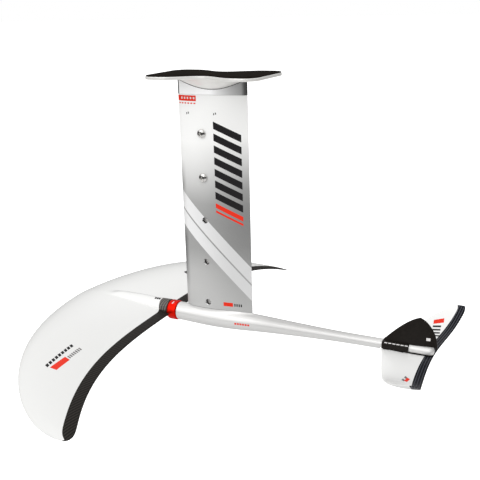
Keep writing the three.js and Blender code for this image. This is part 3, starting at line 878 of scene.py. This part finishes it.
def body_rings():
    angles = seat_angles(SEAT_REACH)
    rings = []
    start, end, radius = FUSELAGE.nose, NOSE.end, NOSE.radius
    for x, less in ((end, 1.5), (end + 0.6, 0.5), (end + 1.5, 0), (start, 0)):
        rings.append(body_ring(x, radius - less, NOSE_Z, angles))
    rings.append(body_ring(start, body_radius(start) - 0.6, body_centre(start), angles))
    for x in body_stations():
        angles = seat_angles(x)
        radius = np.full(len(angles), body_radius(x))
        if abs(x) <= SEAT_REACH:
            radius = seat_radius(np.full(len(angles), x), angles)
        rings.append(body_ring(x, radius, body_centre(x), angles))
    for back, shrink in TAIL_END:
        x = FUSELAGE.tail - back
        rings.append(body_ring(x, body_radius(x) - shrink, body_centre(x), angles))
    return rings


def screw_rooms(kind):
    """Countersinks and clearances, open below."""
    s = SCREWS[kind]
    head, shank, seat, top = s.head + GAP, s.shank + GAP, s.head_z + 0.5, s.top + 1
    profile = [(0, seat - 12.5), (head, seat - 12.5), (head, seat), (shank, seat + head - shank),
               (shank, top), (0, top)]
    return [turned("cutter", profile, (x, 0, 0), "Z", M.bare, 48) for x in s.xs]


def tail_bores(low, high):
    tail = SCREWS["tail_bolt"]
    return [rod(tail.shank + GAP, low, high, x, 0, M.bare) for x in tail.xs]


def build_fuselage():
    body = loft("fuselage_body", body_rings(), [M.silver], sharp_deg=40)
    pocket = prism("cutter", slab(GAP), CORE.foot - GAP, SEAT_Z + 3, M.core)
    cutters = [pocket] + screw_rooms("foot_bolt") + screw_rooms("wing_bolt")
    cutters += tail_bores(FUSELAGE.flat_z - 1, AXIS_Z + 12)
    carve(body, cutters, sharp_deg=40)
    place(body, FOIL_BODY, "silver_paint", "fuselage")


def build_screws():
    """Countersunk screws from below, with a hex socket."""
    for kind, s in SCREWS.items():
        head, shank, z, top = s.head, s.shank, s.head_z, s.top
        cone = [(head - 0.5, z), (head, z + 0.1), (head, z + 0.5), (shank, z + 0.5 + head - shank)]
        tip = [(shank, top - 0.5), (shank - 0.5, top), (0, top)]
        profile = [(0, z)] + eased(cone, 0.3) + tip
        for x, where in zip(s.xs, PLACES[len(s.xs)]):
            screw = turned(f"{kind}_screw_{where}", profile, (x, 0, 0), "Z", M.steel, 48)
            carve(screw, [rod(shank * 0.8, z - 1, z + 2.2, x, 0, M.steel, sides=6)])
            place(screw, FOIL_BODY, "steel", f"{kind}_{where}")


def build_collar():
    c = COLLAR
    r, front, rear = c.radius, c.front, c.rear
    inner = NOSE.radius + GAP
    outer = eased([(inner, front), (r - 1.6, front), (r - 0.3, front + 1.6), (r, front + 4),
                   (r, rear - 1.6), (r - 0.9, rear), (inner, rear)], 0.7)
    ring = turned("collar", outer + [outer[0]], (0, 0, NOSE_Z), "X", M.red, 128)
    place(ring, FOIL_BODY, "red_anodised", "collar_ring")


# --- wings


def front_wing_shape(e):
    """The section at a share of the half span: edges, height, thickness, camber and dark band."""
    le = WING.root_le + (WING.tip_le - WING.root_le) * (1 - (1 - e**1.67) ** 0.52)
    te = WING.root_te + 24.8 * e**2 + 43.1 * e**4 - 20 * e**60
    chord = te - le
    return Sizes(
        le=le, te=te, z=WING.root_z + 4.4 * e**2 - 42.5 * e**4,
        thick=chord * (0.122 - 0.032 * e), camber=chord * 0.02, edge=1.6,
        band=front_band(e),
    )


def front_band(e):
    """Width of the dark trailing band: wider over the socket and outboard, pinched at the tip."""
    socket = 5.6 * math.exp(-((e * WING.half_span / 20) ** 4))
    return max(1.5, 16.4 + 1.6 * e**2 + 4.2 * e**6 + socket - 29.8 * math.exp((e - 1) / 0.0137))


def stabiliser_shape(e):
    le = TAIL.root_le + 45 * e + 37 * e**8
    te = TAIL.root_te + 16.5 * e**2 + 1.6 * e**6 - 4.5 * e**40
    chord = te - le
    return Sizes(
        le=le, te=te, z=TAIL.root_z - 13 * e**2 + 38.2 * e**4,
        thick=chord * 0.088, camber=-chord * 0.027, edge=1.4,
        band=11.6 + 1.6 * math.sin(math.pi * e),
    )


BAND_STEPS, SIDE_STEPS = 6, 40
TIP_SHARE = 0.998


def wing_section(w):
    """A section from the trailing edge over the top, round the nose and back underneath, as
    (share of chord, height). Points fall on the inner edge of the dark band, above and below."""
    chord = w.te - w.le
    inner = max(0.10, 1 - w.band / chord)
    band = np.linspace(1, inner, BAND_STEPS, endpoint=False)
    fore = inner * (1 + np.cos(np.pi * np.arange(SIDE_STEPS + 1) / SIDE_STEPS)) / 2
    edge = min(w.edge, w.thick / 2)

    def side(s, sign):
        mean = 4 * w.camber * s * (1 - s)
        return mean + sign * (w.thick * foil_half(s) + edge / 2 * s)

    top = np.concatenate([band, fore])
    under = top[-2::-1]
    blunt = [(1 + 0.3 * edge / chord, -edge * 0.2), (1 + 0.3 * edge / chord, edge * 0.2)]
    pairs = list(zip(top, side(top, 1))) + list(zip(under, side(under, -1)))
    return np.array(pairs + blunt)


def wing_rings(half_span, stations, shape, adjust=None):
    rings = []
    for y in stations:
        w = shape(min(abs(y) / half_span, TIP_SHARE))
        section = wing_section(w)
        x = w.le + section[:, 0] * (w.te - w.le)
        z = w.z + section[:, 1]
        if adjust is not None:
            z = adjust(x, y, z)
        rings.append(np.column_stack([x, np.full(len(x), y), z]))
    return ease_tips(rings)


def ease_tips(rings):
    """Rounds each tip with two smaller rings."""
    for end, out in ((0, -1), (-1, 1)):
        last = rings[end]
        middle = (last.max(0) + last.min(0)) / 2
        for shrink, flat, step in ((0.985, 0.75, 0.25), (0.95, 0.3, 0.5)):
            ring = middle + (last - middle) * (shrink, 1, flat)
            ring[:, 1] += out * step
            if end == 0:
                rings.insert(0, ring)
            else:
                rings.append(ring)
    return rings


def wing_cap(cols):
    """Closes a tip with a strip of faces from the trailing edge to the nose."""
    nose = (cols - 3) // 2
    below = 2 * nose
    faces = [(i, i + 1, below - i - 1, below - i) for i in range(nose - 1)]
    return faces + [(nose - 1, nose, nose + 1), (0, below, below + 1, below + 2)]


def wing_pick(row, column):
    """White, with the dark band behind it above and below."""
    return 0 if BAND_STEPS <= column < BAND_STEPS + 2 * SIDE_STEPS else 1


def fairing_height(x, y):
    """Top of the round socket and of the bulge ahead of it, which sinks away at its front."""
    t = np.clip((SOCKET.fair_from - x) / (SOCKET.fair_from - SOCKET.fair_to), 0, 1)
    radius = SOCKET.radius * np.sqrt(1 - t**2.4)
    rise = np.sqrt(np.clip(radius**2 - y**2, 0, None)) - 3 * np.clip(abs(y) - radius, 0, None)
    return rise - 0.02 * np.clip(SOCKET.sink_from - x, 0, None) ** 2


CRISP_BLEND = 4.5


def fairing_blend(x):
    """Crisp at the socket's mouth, broad where the bulge runs out into the wing."""
    share = np.clip((SOCKET.rear - 14 - x) / 40, 0, 1)
    return CRISP_BLEND + 17.0 * share * share * (3 - 2 * share)


def with_fairing(x, y, z):
    """Raises the skin over the round socket that takes the fuselage, and drops it below."""
    rise = fairing_height(x, y)
    count = BAND_STEPS + SIDE_STEPS + 1
    out = z.copy()
    out[:count] = smooth_max(z[:count], SOCKET.z + rise[:count], fairing_blend(x[:count]))
    out[count:-2] = smooth_min(z[count:-2], SOCKET.z - rise[count:-2], CRISP_BLEND)
    out[-2:] = np.interp([0.33, 0.67], [0, 1], [out[-3], out[0]])
    return out


def wing_stations():
    """Close together over the round socket, where they follow its circle, and at the tips."""
    socket = SOCKET.radius * np.sin(np.radians(np.arange(0, 90.1, 4.5)))
    near = SOCKET.radius + np.array([0.35, 0.8, 1.4, 2.2, 3.2, 4.6, 6.5, 9, 12.5, 17])
    far = WING.half_span * TIP_SHARE * np.sin(np.pi / 2 * np.linspace(0.07, 1, 64))
    half = np.concatenate([socket, near, far])
    return np.concatenate([-half[:0:-1], half])


def build_front_wing():
    rings = wing_rings(WING.half_span, wing_stations(), front_wing_shape, with_fairing)
    near = [abs(ring[0][1]) < SOCKET.radius + 0.2 for ring in rings]

    def pick(row, column):
        """Over the socket the band takes a lighter, shinier copy of the carbon: painted sheen."""
        band = wing_pick(row, column)
        return 2 if band and near[row] and near[row + 1] else band

    wing = loft("foil_wing", rings, [M.white, M.carbon, M.socket], pick, 40, wing_cap)
    mouth, carbon = SOCKET.rear, M.carbon
    cutters = [rod(COLLAR.radius + GAP, mouth, mouth + 30, 0, NOSE_Z, carbon, "X", 96),
               rod(NOSE.radius + GAP, NOSE.end - 1, mouth + 5, 0, NOSE_Z, carbon, "X", 64)]
    carve(wing, cutters + screw_rooms("wing_bolt"), sharp_deg=40)
    place(wing, FOIL_BODY, "white_gloss", "front_wing")


def build_stabiliser():
    half = TAIL.half_span * TIP_SHARE * np.sin(np.pi / 2 * np.linspace(0, 1, 48))
    stations = np.concatenate([-half[:0:-1], half])
    rings = wing_rings(TAIL.half_span, stations, stabiliser_shape)
    wing = loft("tail_wing", rings, [M.white, M.ribbon], wing_pick, 40, wing_cap)
    seat = [(270, -9), (360, -9), (360, 9), (270, 9)]
    cutters = [prism("cutter", seat, TAIL.seat_z, TAIL.seat_z + 20, M.ribbon)]
    carve(wing, cutters + screw_rooms("tail_bolt"), sharp_deg=40)
    place(wing, FOIL_BODY, "white_gloss", "stabiliser")


# --- fin


FIN_TOP = 0.995


def fin_edges(t):
    """Where the fin begins and ends along x at a share of its height."""
    front = FIN.front + (FIN.peak - FIN.front) * (1 - (1 - t) ** 0.7)
    return front, FIN.peak + (FIN.rear - FIN.peak) * (1 - t * t) ** 0.7


def fin_half(s, t):
    """Half thickness at a share of the chord and of the height."""
    return 2 * FIN.half * (1 - 0.55 * t) * foil_half(s) + 0.5 * s


def fin_rings():
    rings = []
    levels = [(-397.0, 0.0), (-394.0, 0.0)]
    for t in np.sin(np.pi / 2 * np.linspace(0, 1, 34)):
        levels.append((FIN.base + FIN.height * t * FIN_TOP, t))
    s = (1 + np.cos(np.pi * np.linspace(0, 1, 27))) / 2
    for z, t in levels:
        front, rear = fin_edges(t * FIN_TOP)
        half = fin_half(s, t)
        x = front + s * (rear - front)
        loop = list(zip(x, half)) + list(zip(x[-2::-1], -half[-2::-1]))
        rings.append([(px, py, z) for px, py in loop])
    return rings


def saddle():
    d = SADDLE
    half, foot, shoulder = d.half, d.foot, d.shoulder
    profile = eased([(-half, foot), (half, foot), (half, shoulder - 3), (half - 2.5, shoulder),
                     (-half + 2.5, shoulder), (-half, shoulder - 3)], 0.9, 4, closed=True)
    rings = []
    front, rear = d.front, d.rear
    for x, inset in ((front, 0.6), (front + 0.6, 0), (rear - 0.6, 0), (rear, 0.6)):
        rings.append([(x, y * (1 - inset / half), z + (inset if z < -396 else -inset))
                      for y, z in profile])
    return loft("cutter", rings, [M.fin])


def tail_room():
    """The fuselage tail with its clearance, as a cutter."""
    angles = 2 * np.pi * (np.arange(96) + 0.5) / 96
    rings = []
    for x in np.linspace(264, 358, 32):
        rings.append(round_ring(x, body_radius(x) + GAP, body_centre(x), angles))
    return loft("cutter", rings, [M.fin])


def build_fin():
    fin = loft("fin_blade", fin_rings(), [M.fin], sharp_deg=40)
    carve(fin, [saddle()], "UNION")
    flat = [(270, -8), (356, -8), (356, 8), (270, 8)]
    under = prism("cutter", flat, FUSELAGE.flat_z - 10, FUSELAGE.flat_z + 2, M.fin)
    bores = tail_bores(AXIS_Z, SCREWS["tail_bolt"].top + 1)
    carve(fin, [tail_room(), under] + bores, sharp_deg=40)
    place(fin, FOIL_BODY, "black_composite", "tail_fin")


# --- printed graphics

FILM = 0.06


def film(name, patches, surface, material, steps=6, body=FOIL_BODY):
    """Thin printed film. Each patch is four corners in the surface's own two directions, and
    surface(a, b) gives a point on the object and the outward normal there."""
    points, faces = [], []
    for corners in patches:
        c = np.array(corners, float)
        start = len(points)
        grid = [(i / steps, j / steps) for j in range(steps + 1) for i in range(steps + 1)]
        layers = []
        for u, v in grid:
            flat = (1 - v) * ((1 - u) * c[0] + u * c[1]) + v * ((1 - u) * c[3] + u * c[2])
            point, normal = surface(*flat)
            layers.append((point + normal * FILM, point - normal * FILM))
        points += [p for p, _ in layers] + [p for _, p in layers]
        faces += film_faces(start, steps)
    obj = outward(make(name, points, faces, [material], sharp_deg=60))
    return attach(obj, body)


def film_faces(start, steps):
    """Faces of one closed patch: front, back and the thin edge between them."""
    n = steps + 1
    back = start + n * n
    faces = []
    for j in range(steps):
        for i in range(steps):
            a = start + j * n + i
            faces.append((a, a + 1, a + n + 1, a + n))
            b = back + j * n + i
            faces.append((b, b + n, b + n + 1, b + 1))
    rim = list(range(n)) + [j * n + steps for j in range(1, n)]
    rim += [steps * n + i for i in range(steps - 1, -1, -1)]
    rim += [j * n for j in range(steps - 1, 0, -1)]
    for a, b in zip(rim, rim[1:] + rim[:1]):
        faces.append((start + b, start + a, back + a, back + b))
    return faces


def on_mast(side):
    """The mast's skin at (x, z), on the -Y side for side -1."""
    def surface(x, z):
        half = float(mast_half(x))
        slope = float(mast_half(x + 0.5)) - float(mast_half(x - 0.5))
        normal = np.array([-slope, side, 0.0])
        return np.array([x, side * half, z]), normal / np.linalg.norm(normal)
    return surface


def on_wing(shape, half_span, fairing=False):
    """A wing's upper skin at (x, y)."""
    def height(x, y):
        w = shape(min(abs(y) / half_span, TIP_SHARE))
        s = np.clip((x - w.le) / (w.te - w.le), 0, 1)
        z = w.z + 4 * w.camber * s * (1 - s) + w.thick * foil_half(s) + w.edge / 2 * s
        if fairing:
            z = smooth_max(z, SOCKET.z + fairing_height(x, y), fairing_blend(x))
        return float(z)

    def surface(x, y):
        tilt = np.array([height(x - 0.5, y) - height(x + 0.5, y),
                         height(x, y - 0.5) - height(x, y + 0.5), 1.0])
        return np.array([x, y, height(x, y)]), tilt / np.linalg.norm(tilt)
    return surface


def bar(x0, x1, top, height, slope=0.0):
    """A bar across the mast, level or slanting, whose ends stay upright."""
    drop = slope * (x1 - x0)
    return [(x0, top - height), (x1, top - height + drop), (x1, top + drop), (x0, top)]


BAR_SLOPE = -0.44


def mast_graphics():
    bars = [bar(4, 49, -72 - 18.5 * i, 11.5, BAR_SLOPE) for i in range(7)]
    accents = [bar(4, 49, -201.5, 7.5, BAR_SLOPE), bar(4, 49, -213.0, 3.5, BAR_SLOPE)]
    label = [bar(a, b, -33.2, 8.6) for a, b in ((-58, -55), (-55, -48), (-48, -23.5))]
    ticks = [bar(-56 + 5.6 * i, -52.6 + 5.6 * i, -44.2, 1.9) for i in range(6)]
    pips = [bar(-51.0 + 5.6 * i, -48.4 + 5.6 * i, -35.6, 3.2) for i in range(5)]
    small = [bar(x + dx, x + dx + 1.6, -57.0 - abs(dx), 3.0, -0.4)
             for x in (-40, 7) for dx in (-2.0, 1.0)]
    foot_red = [bar(11.3, 27.6, -368.4, 6.6)]
    foot_dark = [bar(30 + 3.6 * i, 32 + 3.6 * i, -369.6, 4.6) for i in range(4)]
    for side, word in ((-1, "near"), (1, "far")):
        skin = on_mast(side)
        for name, patches, tone, steps in (
            ("bars", bars, M.ink_black, 6), ("accent", accents, M.ink_red, 6),
            ("label", label + ticks + foot_red, M.ink_red, 8),
            ("ticks", foot_dark + small, M.ink_black, 2),
        ):
            film(f"mast_{name}_{word}", patches, skin, tone, steps, MAST_BODY)
    near = on_mast(-1)

    def lifted(x, z):
        """Just over the red label."""
        point, normal = near(x, z)
        return point + normal * FILM * 1.5, normal

    film("mast_pips_near", pips, lifted, M.ink_pale, 2, MAST_BODY)


def row_of(start, end, width, count, fill, lean):
    """Leaning dashes in a row from start to end on a wing, as patches."""
    a, b = np.array(start, float), np.array(end, float)
    along = (b - a) / count
    across = np.array([-along[1], along[0]]) / np.linalg.norm(along) * width
    tilt = along * lean
    return [[a + along * i, a + along * (i + fill), a + along * (i + fill) + across + tilt,
             a + along * i + across + tilt] for i in range(count)]


def wing_graphics():
    """A row of dashes has its start, end, width, count, fill and lean."""
    skin = on_wing(front_wing_shape, WING.half_span, fairing=True)
    badge = [[(-144, -263), (-140.5, -231.5), (-129, -235), (-130.7, -264.5)]]
    for name, patches, tone, steps in (
        ("dashes_near", row_of((-148, -264), (-148, -199), 6.7, 9, 0.72, 0.5), M.ink_black, 3),
        ("badge_near", badge, M.ink_red, 6),
        ("rows_near", row_of((-130.8, -232), (-130.8, -201), 7.3, 7, 0.6, 0.5), M.ink_grey, 3),
        ("dashes_far", row_of((-150, 150), (-134, 262), 11, 7, 0.85, 0.3), M.ink_black, 3),
        ("mark", row_of((-126, 0.5), (-114, 0.5), -5.4, 3, 0.85, 0.3), M.ink_black, 4),
    ):
        film(f"wing_{name}", patches, skin, tone, steps)
    skin = on_wing(stabiliser_shape, TAIL.half_span)
    for name, patches, tone, steps in (
        ("bars_far", row_of((330, 105), (335.5, 65), 12.5, 4, 0.5, -0.2), M.ink_black, 3),
        ("accent_far", row_of((328, 119), (330, 106), 16, 1, 0.75, -0.4), M.ink_red, 3),
        ("dash_near", row_of((337.5, -101), (339, -80), 4.5, 2, 0.6, 0.4), M.ink_grey, 2),
        ("dot_near", row_of((342, -101), (343, -86), 5, 1, 0.9, 0.2), M.ink_red, 2),
    ):
        film(f"tail_{name}", patches, skin, tone, steps)


def on_round(x, angle_deg, centre, radius):
    """A round skin along x, at an angle down from the top, towards -Y."""
    a = math.radians(angle_deg)
    normal = np.array([0.0, -math.sin(a), math.cos(a)])
    return np.array([x, 0.0, centre]) + normal * radius, normal


def on_body(x, angle_deg):
    return on_round(x, angle_deg, float(body_centre(x)), float(body_radius(x)))


def on_collar(x, angle_deg):
    return on_round(x, angle_deg, NOSE_Z, COLLAR.radius)


def on_shoulder(x, down):
    """The saddle's sloping shoulder on the -Y side, a distance down from its upper edge."""
    half, top = SADDLE.half, SADDLE.shoulder
    share = 0.35 + down / math.hypot(2.5, 3)
    normal = np.array([0.0, -3.0, 2.5]) / math.hypot(2.5, 3)
    return np.array([x, -(half - 2.5 * (1 - share)), top - 3 * share]), normal


def on_fin(x, z):
    """The fin's -Y side."""
    t = (z - FIN.base) / FIN.height
    front, rear = fin_edges(t)
    half = float(fin_half((x - front) / (rear - front), t))
    return np.array([x, -half, z]), np.array([0.0, -1.0, 0.0])


def body_graphics():
    starts = [34 + 4.6 * i for i in range(6)]
    strip = [[(x, 84), (x + 3.4, 84), (x + 3.4, 96), (x, 96)] for x in starts]
    film("body_strip", strip, on_body, M.ink_red, 3)
    # Painted highlight: a pale slanting dash on the collar's upper side.
    mark = [[(-86.5, 14), (-85, 14), (-86.0, 34), (-88.0, 34)]]
    film("collar_painted_highlight", mark, on_collar, M.ink_pale, 4)
    dashes = [[(x, 0), (x + 4.6, 0), (x + 4.6, 1.3), (x, 1.3)] for x in np.arange(283, 315, 6.2)]
    film("saddle_dashes", dashes, on_shoulder, M.ink_pale, 2)
    tag = [[(344, -382), (350, -382), (350, -377.5), (344, -377.5)]]
    film("fin_mark", tag, on_fin, M.ink_pale, 3)


# --- CAD pieces that stay

KEPT = {
    "mast_core": ("core", 0.35), "core_glide": ("acetal", 0.4), "sleeve_bush": ("acetal", 0.25),
    "lock_bar": ("steel", 0.4), "head_bolt_front": ("steel", 0.2), "head_bolt_rear": ("steel", 0.2),
    "tail_shim": ("fin", 0.2),
}


def finish_kept():
    """Eases the edges of the CAD pieces that keep their own shape and gives them a finish."""
    for node, (material, width) in KEPT.items():
        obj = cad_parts[node]
        obj.data.materials.clear()
        obj.data.materials.append(getattr(M, material))
        bevel = obj.modifiers.new("ease", "BEVEL")
        bevel.width = width * MM
        bevel.segments = 2
        bevel.limit_method = "ANGLE"
        bevel.angle_limit = math.radians(35)


# --- studio

CAMERA = Sizes(at=(582.3, -1078.6, 105.2), azimuth=26.66, pitch=16.87, roll=-1.57, lens=59.3)
FLOOR_Z = -655
FLOOR_GLOW = 0.75
FLOOR_LIT = (900, 2400)
FLOOR_HALF = 30000


def build_camera():
    c = CAMERA
    data = bpy.data.cameras.new("camera")
    data.lens, data.sensor_width = c.lens, 36
    data.clip_start, data.clip_end = 0.01, 200
    pose = Matrix.Translation(Vector(c.at) * MM)
    for angle, axis in ((c.azimuth, "Z"), (90 - c.pitch, "X"), (c.roll, "Z")):
        pose = pose @ Matrix.Rotation(math.radians(angle), 4, axis)
    camera = bpy.data.objects.new("camera", data)
    camera.matrix_world = pose
    bpy.context.scene.collection.objects.link(camera)
    bpy.context.scene.camera = camera


def build_floor():
    """White paper that glows to the camera; far from the object it is dark in reflections."""
    n = Nodes("floor_paper")
    rays = n.node("LightPath").outputs
    x, y, _ = n.axes(n.place())
    square = n.math("ADD", n.math("MULTIPLY", x, x), n.math("MULTIPLY", y, y))
    away = n.step(n.math("SQRT", square), *FLOOR_LIT)
    paper = n.mix(n.noise(n.place(), 0.004, 3), grey(0.66), grey(0.70))
    paper = n.mix(n.math("MULTIPLY", away, rays["Is Glossy Ray"]), paper, grey(0.03))
    n.set(Base_Color=paper, Roughness=0.9, Specular_IOR_Level=0.1, Emission_Color=grey(1.0),
          Emission_Strength=n.math("MULTIPLY", rays["Is Camera Ray"], FLOOR_GLOW))
    corners = [(-FLOOR_HALF, -FLOOR_HALF), (FLOOR_HALF, -FLOOR_HALF),
               (FLOOR_HALF, FLOOR_HALF), (-FLOOR_HALF, FLOOR_HALF)]
    points = [(x, y, FLOOR_Z) for x, y in corners]
    make("floor", points, [(0, 1, 2, 3)], [n.owner])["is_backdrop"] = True


def sun(name, at, strength, angle_deg, target=(0.0, 0.0, -0.25)):
    """A sun whose light runs from at to the target, in metres."""
    data = bpy.data.lights.new(name, "SUN")
    data.energy = strength
    data.angle = math.radians(angle_deg)
    light = bpy.data.objects.new(name, data)
    light.location = at
    light.rotation_euler = (Vector(target) - Vector(at)).to_track_quat("-Z", "Y").to_euler()
    bpy.context.scene.collection.objects.link(light)


SKY = ((0.0, 0.04), (0.15, 0.08), (0.40, 0.70), (1.0, 1.0))
AMBIENT = 0.95


def build_world():
    """White to the camera, even for soft light; reflections find a dark room under a bright
    ceiling."""
    n = Nodes("studio", bpy.data.worlds, "Background")
    rays = n.node("LightPath").outputs
    _, _, up = n.axes(n.node("TexCoord").outputs["Generated"])
    colour = n.ramp(up, SKY)
    for ray, level in (("Is Diffuse Ray", AMBIENT), ("Is Camera Ray", 1.0)):
        colour = n.mix(rays[ray], colour, grey(level))
    n.set(Color=colour, Strength=1.0)
    n.owner.cycles.sampling_method = "NONE"
    bpy.context.scene.world = n.owner


def build_studio():
    build_camera()
    build_floor()
    build_world()
    sun("key", (-0.6, -1.2, 2.4), 0.5, 60)
    sun("front", (-0.3, -1.0, 0.25), 0.8, 50)
    bpy.context.scene.view_settings.view_transform = "Standard"


# --- build

build_studio()
build_plate()
build_sleeve()
lock_bolt("upper", hole_z(0))
lock_bolt("lower", hole_z(1))
build_fuselage()
build_screws()
build_collar()
build_front_wing()
build_stabiliser()
build_fin()
mast_graphics()
wing_graphics()
body_graphics()
finish_kept()

boxes = {"cad": CAD_BOX, "visual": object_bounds()}
{key: [list(corner) for corner in box] for key, box in boxes.items()}
